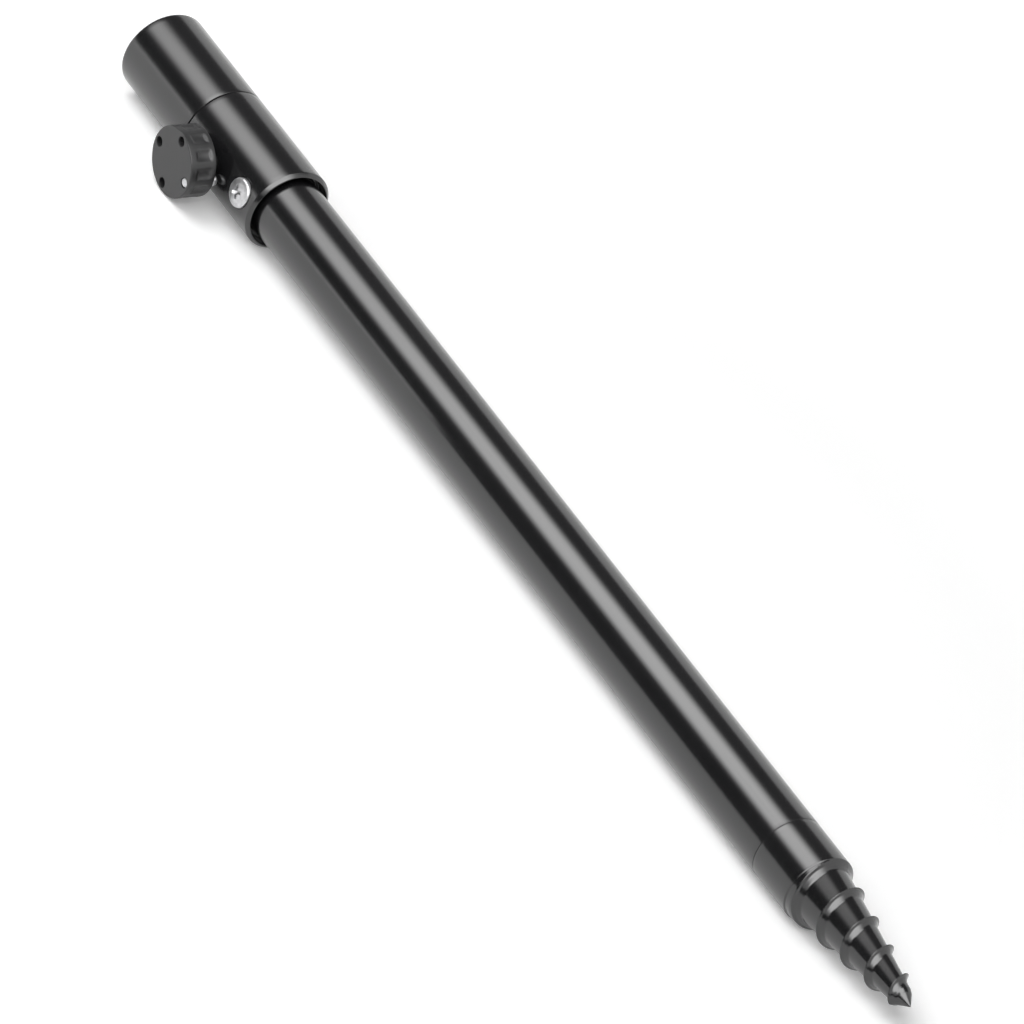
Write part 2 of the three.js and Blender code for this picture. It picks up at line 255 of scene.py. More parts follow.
class Graph:
    """Adds nodes to a tree and links what they take."""

    def __init__(self, tree):
        self.tree = tree

    def add(self, kind, inputs=(), **settings):
        """A new node of a kind with its settings, and its inputs linked or set."""
        node = self.tree.nodes.new(kind)
        for name, value in settings.items():
            setattr(node, name, value)
        for name, value in dict(inputs).items():
            if isinstance(value, bpy.types.NodeSocket):
                self.tree.links.new(value, node.inputs[name])
            else:
                node.inputs[name].default_value = value
        return node

    def joined(self, operation, first, second):
        """One number of two, by an operation of the Math node."""
        return self.add("ShaderNodeMath", {0: first, 1: second}, operation=operation).outputs[0]

    def ranged(self, value, least, most, low=0.0, high=1.0, **settings):
        """A value that goes from least to most, taken to low and high and held there past them."""
        limits = {"From Min": least, "From Max": most, "To Min": low, "To Max": high}
        inputs = {"Value": value, **limits}
        return self.add("ShaderNodeMapRange", inputs, **settings).outputs["Result"]

    def noise(self, scale, detail):
        """Noise on the piece's own coordinates, with a scale in waves to the metre each way."""
        place = self.add("ShaderNodeTexCoord").outputs["Object"]
        mapped = self.add("ShaderNodeMapping", {"Vector": place, "Scale": scale}).outputs["Vector"]
        inputs = {"Vector": mapped, "Scale": 1, "Detail": detail}
        return self.add("ShaderNodeTexNoise", inputs).outputs["Fac"]

    def spread(self, factor, low, high):
        """A number that goes from low to high with a noise."""
        return self.ranged(factor, *NOISE_RANGE, low, high)

    def shade(self, factor, low, high):
        """A colour that goes from low to high with a noise."""
        inputs = {"Factor": self.spread(factor, 0, 1), MIX_LOW: (*low, 1), MIX_HIGH: (*high, 1)}
        return self.add("ShaderNodeMix", inputs, data_type="RGBA").outputs[MIXED]

    def bump(self, height, depth, below=None):
        """Relief of a depth, over other relief where there is any."""
        inputs = {"Height": height, "Distance": depth, "Strength": 1}
        if below:
            inputs["Normal"] = below
        return self.add("ShaderNodeBump", inputs).outputs["Normal"]


def varied(name, noises, colour, roughness, bumps, **plain):
    """A material that varies with noises, each a scale and a detail. The colour and the roughness
    are a noise's name and what its lows and its highs give. The bumps are noises' names and depths,
    from the bottom up. What is plain is the same all over."""
    material = bpy.data.materials.new(name)
    material.use_nodes = True
    graph = Graph(material.node_tree)
    made = {key: graph.noise(*noise) for key, noise in noises.items()}
    relief = None
    for key, depth in bumps:
        relief = graph.bump(made[key], depth, relief)
    fed = {
        "Base Color": graph.shade(made[colour[0]], *colour[1:]),
        "Roughness": graph.spread(made[roughness[0]], *roughness[1:]),
        "Normal": relief,
    }
    shader = material.node_tree.nodes["Principled BSDF"]
    for key, value in plain.items():
        shader.inputs[key].default_value = value
    for key, socket in fed.items():
        graph.tree.links.new(socket, shader.inputs[key])
    return material


def anodised(name, lines):
    """Gloss black anodised aluminium, with the scale of its tool lines along and across."""
    return varied(
        name,
        noises={"lines": (lines, 3), "clouds": ((60, 60, 60), 4), "peel": ((700, 700, 700), 2)},
        colour=("clouds", (0.0042, 0.0042, 0.0046), (0.0060, 0.0060, 0.0065)),
        roughness=("lines", 0.165, 0.205),
        bumps=[("peel", 0.0009 * MM), ("lines", 0.0006 * MM)],
        IOR=1.75,
    )


def moulded_nylon(name, dark, light):
    """Nylon with a fine grain and the flow of its moulding."""
    return varied(
        name,
        noises={"grain": ((3500, 3500, 3500), 4), "flow": ((180, 420, 420), 3)},
        colour=("flow", dark, light),
        roughness=("grain", 0.48, 0.6),
        bumps=[("grain", 0.004 * MM)],
        IOR=1.53,
    )


drawn_black = anodised("drawn_black", (25, 4200, 4200))
turned_black = anodised("turned_black", (6500, 60, 60))
black_nylon = moulded_nylon("black_nylon", (0.020, 0.020, 0.022), (0.030, 0.030, 0.032))
white_nylon = moulded_nylon("white_nylon", (0.66, 0.65, 0.60), (0.76, 0.75, 0.71))

# Fine satin of the knob
knob_black = varied(
    "satin_black",
    noises={"grit": ((5200, 5200, 5200), 5), "clouds": ((260, 260, 260), 4)},
    colour=("clouds", (0.010, 0.010, 0.0105), (0.016, 0.016, 0.0165)),
    roughness=("clouds", 0.38, 0.46),
    bumps=[("grit", 0.004 * MM)],
    IOR=1.62,
)

# Plated and tumbled, with fine marks in all directions
steel = varied(
    "bright_steel",
    noises={"dents": ((1500, 1500, 1500), 3), "marks": ((4200, 900, 2600), 5)},
    colour=("dents", (0.56, 0.56, 0.57), (0.70, 0.70, 0.71)),
    roughness=("marks", 0.36, 0.48),
    bumps=[("dents", 0.006 * MM), ("marks", 0.001 * MM)],
    Metallic=1.0,
)

# Turned, a little tarnished
brass = varied(
    "turned_brass",
    noises={"rings": ((9000, 300, 300), 4), "tarnish": ((400, 400, 400), 5)},
    colour=("tarnish", (0.50, 0.34, 0.13), (0.66, 0.49, 0.21)),
    roughness=("rings", 0.24, 0.36),
    bumps=[("rings", 0.002 * MM)],
    Metallic=1.0,
)


# Outer tube

tube_start, tube_end, tube_bore, tube_radius = STICK.reach("outer_tube")
dress(turned("tube_shell", STICK, [
    (tube_start, tube_bore, FINE_EDGE),
    (tube_start, tube_radius, FINE_EDGE),
    (tube_end, tube_radius, JOINT_EDGE),
    (tube_end, tube_bore, FINE_EDGE),
]), "outer_tube", drawn_black)


# Inner tube

inner_start, inner_end, inner_bore, inner_radius = STICK.reach("inner_tube")
dress(turned("inner_shell", STICK, [
    (inner_start, inner_bore, FINE_EDGE),
    (inner_start, inner_radius, FINE_EDGE),
    (inner_end, inner_radius, FINE_EDGE),
    (inner_end, inner_bore, FINE_EDGE),
]), "inner_tube", drawn_black)


# Head, with a seat for the insert and a socket for the inner tube

head_start, head_end, _, body_radius = STICK.reach("stick_head")
insert_start, insert_end, insert_bore, insert_radius = STICK.reach("thread_insert")
socket_floor = inner_start - FIT_GAP
dress(turned("head_shell", STICK, [
    (insert_end + FIT_GAP, 0, 0),
    (insert_end + FIT_GAP, insert_radius + FIT_GAP, FINE_EDGE),
    (head_start, insert_radius + FIT_GAP, FINE_EDGE),
    (head_start, body_radius, HEAD_EDGE),
    (head_end, body_radius, FINE_EDGE),
    (head_end, inner_radius + FIT_GAP, FINE_EDGE),
    (socket_floor, inner_radius + FIT_GAP, FINE_EDGE),
    (socket_floor, 0, 0),
]), "stick_head", turned_black)


def wave(along, turns, pitch, flank_share):
    """Height from 0 to 1 of a V thread with rounded crests and roots, at a place along and places
    round. Its flanks take a share of the pitch and flats the rest."""
    phase = np.abs(((along / pitch - turns) % 1) * 2 - 1)
    flat = (1 - flank_share) / 2
    return eased(np.clip((phase - flat) / flank_share, 0, 1))


# Threaded insert, 3/8 inch with 20 turns to the inch

INSERT_PITCH = 1.27 * MM
INSERT_DEPTH = 0.62 * MM
INSERT_CHAMFER = 0.6 * MM
INSERT_FLANK_SHARE = 0.65
INSERT_STEPS_TO_PITCH = 12


def insert_rings():
    """Plain outside, threaded bore, a chamfer at its mouth."""
    sides = np.arange(THREAD_SIDES) / THREAD_SIDES
    outside = rounded([
        (insert_start, insert_bore + INSERT_CHAMFER, 0),
        (insert_start, insert_radius, FINE_EDGE),
        (insert_end, insert_radius, FINE_EDGE),
        (insert_end, insert_bore, 0),
    ])
    rings = [(point.x, point.y) for point in outside[1:-1]]
    steps = round((insert_end - insert_start) / INSERT_PITCH * INSERT_STEPS_TO_PITCH)
    for along in np.linspace(insert_end, insert_start, steps + 1):
        mouth = max(0.0, insert_bore + INSERT_CHAMFER - (along - insert_start))
        thread = wave(along, sides, INSERT_PITCH, INSERT_FLANK_SHARE)
        rings.append((along, np.maximum(insert_bore + INSERT_DEPTH * (1 - thread), mouth)))
    return rings


dress(revolved("threaded_insert", STICK, insert_rings(), THREAD_SIDES), "thread_insert", brass)


# Clamp collar, with the holes of the clamp screw and the fixing screw

collar_start, collar_end, collar_bore, _ = STICK.reach("clamp_collar")
bush_start, bush_end, bush_bore, bush_radius = STICK.reach("collar_bush")
screw_inner, screw_outer, _, clamp_screw_radius = CLAMP.reach("clamp_screw")
fixing_shank, fixing_top, _, fixing_head_radius = FIXING.reach("collar_screw")
RIM_WIDTH = 1 * MM
RIM_SLOPE_LENGTH = 0.8 * MM
RIM_SLOPE_DEPTH = 0.7 * MM
RIM_EDGE = 0.25 * MM
RELIEF_DEPTH = 3 * MM
FIXING_HEAD_HEIGHT = 1.6 * MM
FIXING_SHANK_RADIUS = 2 * MM
relief_radius = body_radius - RIM_WIDTH
tube_seat = tube_radius + FIT_GAP
collar_stop = tube_start - FIT_GAP
bush_seat = bush_radius + FIT_GAP
fixing_seat = fixing_top - FIXING_HEAD_HEIGHT


def bore(name, axis, radius, low, high):
    """A plain round cutter."""
    corners = [(low, 0, 0), (low, radius, 0), (high, radius, 0), (high, 0, 0)]
    return turned(name, axis, corners, SMALL_SIDES, NO_RINGS_BETWEEN)


collar = turned("collar_shell", STICK, [
    (collar_start, bush_seat, FINE_EDGE),
    (collar_start, body_radius, FINE_EDGE),
    (collar_end - RIM_SLOPE_LENGTH, body_radius, RIM_EDGE),
    (collar_end, body_radius - RIM_SLOPE_DEPTH, RIM_EDGE),
    (collar_end, relief_radius, RIM_EDGE),
    (collar_end - RELIEF_DEPTH, relief_radius, SOFT_EDGE),
    (collar_end - RELIEF_DEPTH, tube_seat, FINE_EDGE),
    (collar_stop, tube_seat, 0),
    (collar_stop, collar_bore, FINE_EDGE),
    (bush_end + FIT_GAP, collar_bore, FINE_EDGE),
    (bush_end + FIT_GAP, bush_seat, 0),
])
outside = body_radius + OVERRUN
dress(carved(
    collar,
    bore("clamp_hole", CLAMP, clamp_screw_radius + SLIDE_GAP, 0, outside),
    bore("fixing_hole", FIXING, FIXING_SHANK_RADIUS + FIT_GAP, 0, outside),
    bore("fixing_spot", FIXING, fixing_head_radius + SEAT_GAP, fixing_seat - JOINT_GAP, outside),
), "clamp_collar", turned_black)

dress(turned("mouth_bush", STICK, [
    (bush_start, bush_bore, SOFT_EDGE),
    (bush_start, bush_radius, FINE_EDGE),
    (bush_end, bush_radius, FINE_EDGE),
    (bush_end, bush_bore, SOFT_EDGE),
]), "collar_bush", black_nylon)


# Screw that fixes the collar, with a cross recess

RECESS_LENGTH = 3.1 * MM
RECESS_WIDTH = 0.75 * MM
RECESS_DEPTH = 1.1 * MM
RECESS_LENGTH_TAPER = 0.45
RECESS_WIDTH_TAPER = 0.225
RECESS_TURN = math.radians(28)
FIXING_HEAD_EDGE = 0.7 * MM
DOME_STEPS = 8


def recess_arm(name, turn):
    """One bar of a cross recess, narrower and shorter at its bottom."""
    mesh = bmesh.new()
    bmesh.ops.create_cube(mesh, size=1)
    for corner in mesh.verts:
        height = -1 if corner.co.x < 0 else 1
        corner.co.x = fixing_top + RECESS_DEPTH * height
        corner.co.y *= RECESS_LENGTH * (1 + RECESS_LENGTH_TAPER * height)
        corner.co.z *= RECESS_WIDTH * (1 + RECESS_WIDTH_TAPER * height)
    return placed(name, mesh, FIXING.matrix() @ Matrix.Rotation(turn, 4, "X"))


def dome(low, high, radius, edge):
    """Corners of a low dome over a short upright edge."""
    corners = [(low, radius, FINE_EDGE)]
    rise = high - low - edge
    for step in range(DOME_STEPS):
        turn = math.pi / 2 * step / DOME_STEPS
        corners.append((low + edge + rise * math.sin(turn), radius * math.cos(turn), 0))
    return corners + [(high, 0, 0)]


dress(carved(
    turned("fixing_screw", FIXING, [
        (fixing_shank, 0, 0),
        (fixing_shank, FIXING_SHANK_RADIUS, FINE_EDGE),
        (fixing_seat, FIXING_SHANK_RADIUS, 0),
        *dome(fixing_seat, fixing_top, fixing_head_radius, FIXING_HEAD_EDGE),
    ], 2 * SMALL_SIDES),
    recess_arm("recess_one", RECESS_TURN),
    recess_arm("recess_two", RECESS_TURN + math.pi / 2),
), "collar_screw", steel)


# Knob, with a rounded edge, flutes and four holes

knob_back, knob_face, _, knob_radius = CLAMP.reach("clamp_knob")
pin_back, pin_face, _, _ = CLAMP.reach("knob_pin")
pin_middle = middle_of("knob_pin") - CLAMP.origin
pin_side = pin_middle.dot(CLAMP.side)
pin_up = pin_middle.dot(CLAMP.up)
KNOB_EDGE = 0.2 * MM
KNOB_HOLE_RADIUS = 1.1 * MM
KNOB_HOLE_CHAMFER = 0.12 * MM
KNOB_HOLES = 4
SCREW_SEAT = 4.2 * MM
FLUTES = 12
FLUTE_WIDTH = 2.6 * MM
FLUTE_DEPTH = 0.42 * MM
FLUTE_BLEND = 0.15 * MM
FLUTE_FROM_FACE = 1.3 * MM
FLUTE_FROM_BACK = 0.7 * MM
FLUTE_RUN_OUT = 0.9 * MM
FLUTE_STEPS = 6
SIDES_TO_FLUTE = 24
KNOB_SIDES = SIDES_TO_FLUTE * FLUTES


def blended_least(first, second, blend):
    """The lesser of two distances, with a rounding where they cross."""
    near = np.clip(0.5 + 0.5 * (second - first) / blend, 0, 1)
    return first * near + second * (1 - near) - blend * near * (1 - near)


def knob_outline():
    """Distance out of the knob's fluted side, all round it, with round scoops between its lands."""
    turns = np.arange(KNOB_SIDES) * 2 * math.pi / KNOB_SIDES
    half = math.asin(FLUTE_WIDTH / 2 / knob_radius)
    sag = FLUTE_DEPTH - knob_radius * (1 - math.cos(half))
    scoop = ((FLUTE_WIDTH / 2) ** 2 + sag ** 2) / (2 * sag)
    centre = knob_radius - FLUTE_DEPTH + scoop
    pitch = 2 * math.pi / FLUTES
    apart = turns % pitch - pitch / 2
    inside = np.maximum(scoop ** 2 - (centre * np.sin(apart)) ** 2, 0)
    scooped = np.where(inside > 0, centre * np.cos(apart) - np.sqrt(inside), knob_radius + OVERRUN)
    return blended_least(np.full(KNOB_SIDES, knob_radius), scooped, FLUTE_BLEND)


def knob_rings():
    """Rings of the knob: plain rims with rounded edges, and flutes that run out between them."""
    scooped = knob_outline() - knob_radius
    edge = [
        (KNOB_EDGE * (1 - math.cos(turn)), knob_radius - KNOB_EDGE * (1 - math.sin(turn)))
        for turn in np.linspace(0, math.pi / 2, ARC_STEPS + 1)
    ]
    flute = [
        (FLUTE_RUN_OUT * share, knob_radius + scooped * eased(share))
        for share in np.linspace(0, 1, FLUTE_STEPS + 1)
    ]
    flutes_low = knob_back + FLUTE_FROM_BACK
    flutes_high = knob_face - FLUTE_FROM_FACE
    return [
        (knob_back, 0.0),
        *[(knob_back + along, out) for along, out in edge],
        *[(flutes_low + along, out) for along, out in flute],
        *[(flutes_high - along, out) for along, out in reversed(flute)],
        *[(knob_face - along, out) for along, out in reversed(edge)],
        (knob_face, 0.0),
    ]


def aside(axis, side, up):
    """An axis moved square to itself."""
    return Axis(axis.origin + axis.side * side + axis.up * up, axis.along, axis.side)


def knob_hole(number):
    """A through hole with a small chamfer at the face, one of those on the hole circle."""
    turn = math.atan2(pin_up, pin_side) + 2 * math.pi * number / KNOB_HOLES
    circle = math.hypot(pin_side, pin_up)
    axis = aside(CLAMP, circle * math.cos(turn), circle * math.sin(turn))
    low, high = knob_back - OVERRUN, knob_face + OVERRUN
    return turned(f"knob_hole_{number}", axis, [
        (low, 0, 0),
        (low, KNOB_HOLE_RADIUS, 0),
        (knob_face - KNOB_HOLE_CHAMFER, KNOB_HOLE_RADIUS, 0),
        (high, KNOB_HOLE_RADIUS + KNOB_HOLE_CHAMFER + OVERRUN, 0),
        (high, 0, 0),
    ], SMALL_SIDES, NO_RINGS_BETWEEN)


socket_radius = clamp_screw_radius + FIT_GAP
dress(carved(
    revolved("fluted_knob", CLAMP, knob_rings(), KNOB_SIDES),
    bore("screw_socket", CLAMP, socket_radius, knob_back - OVERRUN, knob_back + SCREW_SEAT),
    *[knob_hole(number) for number in range(KNOB_HOLES)],
), "clamp_knob", knob_black)


# Pin in one of the knob's holes, with a head behind the knob

PIN_HEAD_RADIUS = 1.25 * MM
PIN_HEAD_ROUND = 0.55 * MM
pin_radius = KNOB_HOLE_RADIUS - JOINT_GAP
dress(turned("cross_pin", aside(CLAMP, pin_side, pin_up), [
    (pin_back, 0, 0),
    (pin_back, PIN_HEAD_RADIUS, PIN_HEAD_ROUND),
    (knob_back - SEAT_GAP, PIN_HEAD_RADIUS, PIN_HEAD_ROUND),
    (knob_back - SEAT_GAP, pin_radius, 0),
    (pin_face, pin_radius, SOFT_EDGE),
    (pin_face, 0, 0),
], SMALL_SIDES), "knob_pin", steel)


# Clamp screw, with its thread

CLAMP_PITCH = 0.8 * MM
CLAMP_THREAD_DEPTH = 0.45 * MM
CLAMP_FLANK_SHARE = 0.7
CLAMP_SCREW_POINT = 0.5 * MM
CLAMP_STEPS_TO_PITCH = 14


def clamp_screw_rings():
    """A threaded rod with a chamfer at its inner end."""
    sides = np.arange(SMALL_SIDES) / SMALL_SIDES
    steps = round((screw_outer - screw_inner) / CLAMP_PITCH * CLAMP_STEPS_TO_PITCH)
    rings = [(screw_inner, 0.0)]
    for along in np.linspace(screw_inner, screw_outer, steps + 1):
        thread = wave(along, sides, CLAMP_PITCH, CLAMP_FLANK_SHARE)
        out = clamp_screw_radius - CLAMP_THREAD_DEPTH * (1 - thread)
        point = clamp_screw_radius - CLAMP_SCREW_POINT + (along - screw_inner)
        rings.append((along, np.minimum(out, point)))
    return rings + [(screw_outer, 0.0)]


dress(revolved("clamp_stud", CLAMP, clamp_screw_rings(), SMALL_SIDES), "clamp_screw", steel)


# Screw point: a spigot in the tube, a plain band, a short taper, a threaded cone and a nose

spigot_start, tip, _, _ = STICK.reach("screw_point")
BAND_LENGTH = 12 * MM
TAPER_LENGTH = 0.9 * MM
TAPER_DEPTH = 0.95 * MM
SHOULDER_LENGTH = 0.8 * MM
CONE_START_RADIUS = 6.5 * MM
CONE_END_RADIUS = 2.2 * MM
CONE_LENGTH = 30.4 * MM
NOSE_SHOULDER_LENGTH = 0.9 * MM
NOSE_SHOULDER_RADIUS = 1.8 * MM
THREAD_TURNS = 4.56
THREAD_LEAD = 0.7 * MM
THREAD_STOP_SHORT = 2.4 * MM
THREAD_START_TURN = 52 / 360
THREAD_FADE_TURNS = 0.1
THREAD_SINK_SHARE = 0.25
THREAD_AWAY = -1 * MM
THREAD_WIDTH = 2.5 * MM
THREAD_HEIGHT = 1.05 * MM
THREAD_START_EXTRA = 0.35 * MM
THREAD_FOOT_BLEND = 0.12 * MM
THREAD_STEP = 0.12 * MM

# Places beside the thread's outline whose mean rounds it
THREAD_ROUNDING = [-0.12 * MM, -0.06 * MM, 0, 0.06 * MM, 0.12 * MM]

# The first turn has no groove behind it, because the band ends there. The share of the height that
# the room behind is filled to, as [turn, share] pairs.
THREAD_FILL = [(0.5, 1), (0.9, -0.5)]

# Outline of the thread as [width share, height share] pairs: steep towards the head, hollow and
# easy towards the point
THREAD_OUTLINE = [
    (-0.2, -0.5),
    (-0.1, 0.7),
    (-0.04, 1),
    (0.03, 1),
    (0.1, 0.6),
    (0.46, 0.08),
    (0.62, -0.1),
    (0.85, -0.6),
]

point_start = tube_end + JOINT_GAP
band_end = point_start + BAND_LENGTH
taper_end = band_end + TAPER_LENGTH
cone_start = taper_end + SHOULDER_LENGTH
cone_end = cone_start + CONE_LENGTH
nose_start = cone_end + NOSE_SHOULDER_LENGTH
thread_from = band_end - THREAD_LEAD
thread_pitch = (tip - THREAD_STOP_SHORT - thread_from) / THREAD_TURNS
core_outline = [
    (cone_start, CONE_START_RADIUS),
    (cone_end, CONE_END_RADIUS),
    (nose_start, NOSE_SHOULDER_RADIUS),
    (tip, 0),
]


def thread_rise(along, turns):
    """Height of the screw thread over the core, less than nothing away from it."""
    rise = np.full(len(turns), THREAD_AWAY)
    for whole in range(math.ceil(THREAD_TURNS)):
        turn = (turns - THREAD_START_TURN) % 1 + whole
        middle = thread_from + turn * thread_pitch
        fill = np.interp(turn, *zip(*THREAD_FILL))
        shares = []
        for shift in THREAD_ROUNDING:
            place = (along + shift - middle) / THREAD_WIDTH
            outline = np.interp(place, *zip(*THREAD_OUTLINE))
            shares.append(np.where(place < 0, np.maximum(outline, fill), outline))
        share = sum(shares) / len(shares)
        grown = np.clip((THREAD_TURNS - turn) / THREAD_FADE_TURNS, 0, 1)
        faded = np.where(share > 0, share * grown - THREAD_SINK_SHARE * (1 - grown), share)
        height = THREAD_HEIGHT + THREAD_START_EXTRA * np.clip(1 - turn, 0, 1)
        rise = np.maximum(rise, np.where(turn < THREAD_TURNS, faded * height, rise))
    return rise


def point_rings():
    """Spigot and band as a plain outline, then close rings that carry the thread."""
    spigot_radius = tube_bore - FIT_GAP
    plain = spaced(rounded([
        (spigot_start, 0, 0),
        (spigot_start, spigot_radius, SPIGOT_EDGE),
        (point_start, spigot_radius, 0),
        (point_start, tube_radius, JOINT_EDGE),
        (band_end, tube_radius, FINE_EDGE),
        (taper_end, tube_radius - TAPER_DEPTH, SOFT_EDGE),
        (cone_start, CONE_START_RADIUS, SOFT_EDGE),
        (cone_end, CONE_END_RADIUS, SOFT_EDGE),
        (nose_start, NOSE_SHOULDER_RADIUS, SOFT_EDGE),
        (tip, 0, 0),
    ]), RING_STEP)
    threaded_from = band_end - 2 * FINE_EDGE
    rings = [(point.x, point.y) for point in plain if point.x < threaded_from]
    core = [(point.x, point.y) for point in plain if point.x >= threaded_from]
    turns = np.arange(THREAD_SIDES) / THREAD_SIDES
    steps = round((tip - threaded_from) / THREAD_STEP)
    for along in np.linspace(threaded_from, tip, steps, endpoint=False):
        out = np.interp(along, *zip(*core))
        crest = np.interp(along, *zip(*core_outline)) + thread_rise(along, turns)
        inward = blended_least(np.full(THREAD_SIDES, -out), -crest, THREAD_FOOT_BLEND)
        rings.append((along, -inward))
    return rings + [(tip, 0.0)]


dress(revolved("threaded_point", STICK, point_rings(), THREAD_SIDES), "screw_point", turned_black)


# Pieces that only show when the stick is opened or taken apart

plug_start, plug_end, _, plug_radius = STICK.reach("inner_plug")
_, _, ring_bore, _ = STICK.reach("guide_ring")
PLUG_FLANGE = 1.6 * MM
plug_spigot = inner_bore - FIT_GAP
plug_neck = ring_bore - FIT_GAP
dress(turned("end_plug", STICK, [
    (plug_start, 0, 0),
    (plug_start, plug_spigot, SPIGOT_EDGE),
    (inner_end + JOINT_GAP, plug_spigot, 0),
    (inner_end + JOINT_GAP, plug_neck, FINE_EDGE),
    (plug_end - PLUG_FLANGE, plug_neck, 0),
    (plug_end - PLUG_FLANGE, plug_radius, FINE_EDGE),
    (plug_end, plug_radius, SOFT_EDGE),
    (plug_end, 0, 0),
]), "inner_plug", black_nylon)


# The guide ring and the pressure pad keep their solids, with softened edges

BEVEL_SEGMENTS = 2

for node in ("guide_ring", "pressure_pad"):
    NODES[node].data.materials.clear()
    NODES[node].data.materials.append(white_nylon)
    soften = NODES[node].modifiers.new("soft edges", "BEVEL")
    soften.width = FINE_EDGE
    soften.segments = BEVEL_SEGMENTS
    soften.limit_method = "ANGLE"
    soften.angle_limit = SHARP_ANGLE


# Floor, which the collar's rim and the end of the band both touch

FLOOR_SIZE = 16.0
FLOOR_COLOUR = (0.9, 0.9, 0.9, 1)
FLOOR_RELIEF = 0.01 * MM
FIBRES = (900, 900, 900)
FIBRE_DETAIL = 4

# Painted glow of the floor, seen only by camera and reflection rays: its strength near the stick
# and far from it, and the distances between which it grows
NEAR_GLOW, FAR_GLOW = 0.22, 1.0
GLOW_FROM, GLOW_TO = 0.12, 0.6


def seen_directly(graph):
    """1 for camera rays and for rays off gloss and through glass, 0 for the rest."""
    path = graph.add("ShaderNodeLightPath").outputs
    clear = graph.joined("MAXIMUM", path["Is Glossy Ray"], path["Is Transmission Ray"])
    return graph.joined("MAXIMUM", path["Is Camera Ray"], clear)


def stage_material(name):
    """A new material without its shader, and its graph."""
    material = bpy.data.materials.new(name)
    material.use_nodes = True
    material.node_tree.nodes.clear()
    return material, Graph(material.node_tree)


def white_floor():
    """White sheet with a painted glow for camera and reflection rays. The glow is weak near the
    stick, so the sheet keeps the stick's shadow, and grows to plain white away from it.
    """
    material, graph = stage_material("white_floor")
    relief = graph.bump(graph.noise(FIBRES, FIBRE_DETAIL), FLOOR_RELIEF)
    matt = graph.add("ShaderNodeBsdfDiffuse", {"Color": FLOOR_COLOUR, "Normal": relief})
    place = graph.add("ShaderNodeNewGeometry").outputs["Position"]
    apart = graph.add("ShaderNodeVectorMath", {0: place}, operation="LENGTH").outputs["Value"]
    # Painted light: the floor glows more the further it lies from the stick
    growing = graph.ranged(apart, GLOW_FROM, GLOW_TO, NEAR_GLOW, FAR_GLOW)
    strength = graph.joined("MULTIPLY", seen_directly(graph), growing)
    glow = graph.add("ShaderNodeEmission", {"Strength": strength})
    both = graph.add("ShaderNodeAddShader", {0: matt.outputs[0], 1: glow.outputs[0]})
    graph.add("ShaderNodeOutputMaterial", {"Surface": both.outputs[0]})
    return material


def sheet(name, size, material, place, turn):
    """A flat stage sheet."""
    bpy.ops.mesh.primitive_plane_add(size=1)
    made = bpy.context.object
    made.name = name
    made.scale = (size[0], size[1], 1)
    made.location = place
    made.rotation_euler = turn
    made.data.materials.append(material)
    return made


floor_tilt = math.atan2(body_radius - tube_radius, band_end - collar_end)
floor_low = STICK.origin.z - body_radius
floor_place = (0, 0, floor_low - collar_end * math.tan(floor_tilt))
sheet("floor", (FLOOR_SIZE, FLOOR_SIZE), white_floor(), floor_place, (0, -floor_tilt, 0))


# Painted reflections: dim grey glowing cards beside, over and behind the stick that only
# reflections show. They cast no shadow and light nothing, and stand in for a studio's dark flags
# only in the gloss.

CARD_FROM, CARD_TO = -5.6, 0.4
CARD_MIDDLE = (CARD_FROM + CARD_TO) / 2
# Glow of the painted dark reflections at the side and on top
SIDE_REFLECTION_GREY = 0.06
TOP_REFLECTION_GREY = 0.12


def painted_reflection_card(name, size, place, turn, grey):
    """A dim grey glowing sheet that only reflections show: a painted dark reflection."""
    material, graph = stage_material(name)
    glow = graph.add("ShaderNodeEmission", {"Strength": grey})
    graph.add("ShaderNodeOutputMaterial", {"Surface": glow.outputs[0]})
    card = sheet(name, size, material, place, turn)
    card.visible_camera = False
    card.visible_diffuse = False
    card.visible_shadow = False
    card.visible_transmission = False


def upright_reflection_card(name, low, high, side, bottom, top):
    """An upright card of painted dark reflection at one side of the stick, from one place along it
    to another.
    """
    place = ((low + high) / 2, side, (bottom + top) / 2)
    painted_reflection_card(name, (high - low, top - bottom), place, (math.pi / 2, 0, 0), SIDE_REFLECTION_GREY)


upright_reflection_card("near_reflection_card", low=-0.08, high=CARD_TO, side=-0.072, bottom=0, top=0.03)
upright_reflection_card("front_reflection_card", low=CARD_FROM, high=CARD_TO, side=-0.97, bottom=0.08, top=0.65)

TOP_CARD_FROM, TOP_CARD_TO, TOP_CARD_HEIGHT = 0.15, 1.08, 1.0
top_size = (CARD_TO - CARD_FROM, TOP_CARD_TO - TOP_CARD_FROM)
top_place = (CARD_MIDDLE, (TOP_CARD_FROM + TOP_CARD_TO) / 2, TOP_CARD_HEIGHT)
painted_reflection_card("top_reflection_card", top_size, top_place, (0, 0, 0), TOP_REFLECTION_GREY)


# Lamps, all softboxes that fade towards their edges. The left key makes the long bands on the
# tubes, and lights the floor together with the sky lamp, which no reflection shows. The top and
# right keys show in the thread and the knob, and give no diffuse light.


def fade(graph, place, full_from, full_to):
    """Share of light at a place from 0 to 1 across a softbox, whole between two places."""
    rise = graph.ranged(place, 0.0, full_from, interpolation_type="SMOOTHSTEP")
    fall = graph.ranged(place, 1.0, full_to, interpolation_type="SMOOTHSTEP")
    return graph.joined("MULTIPLY", rise, fall)


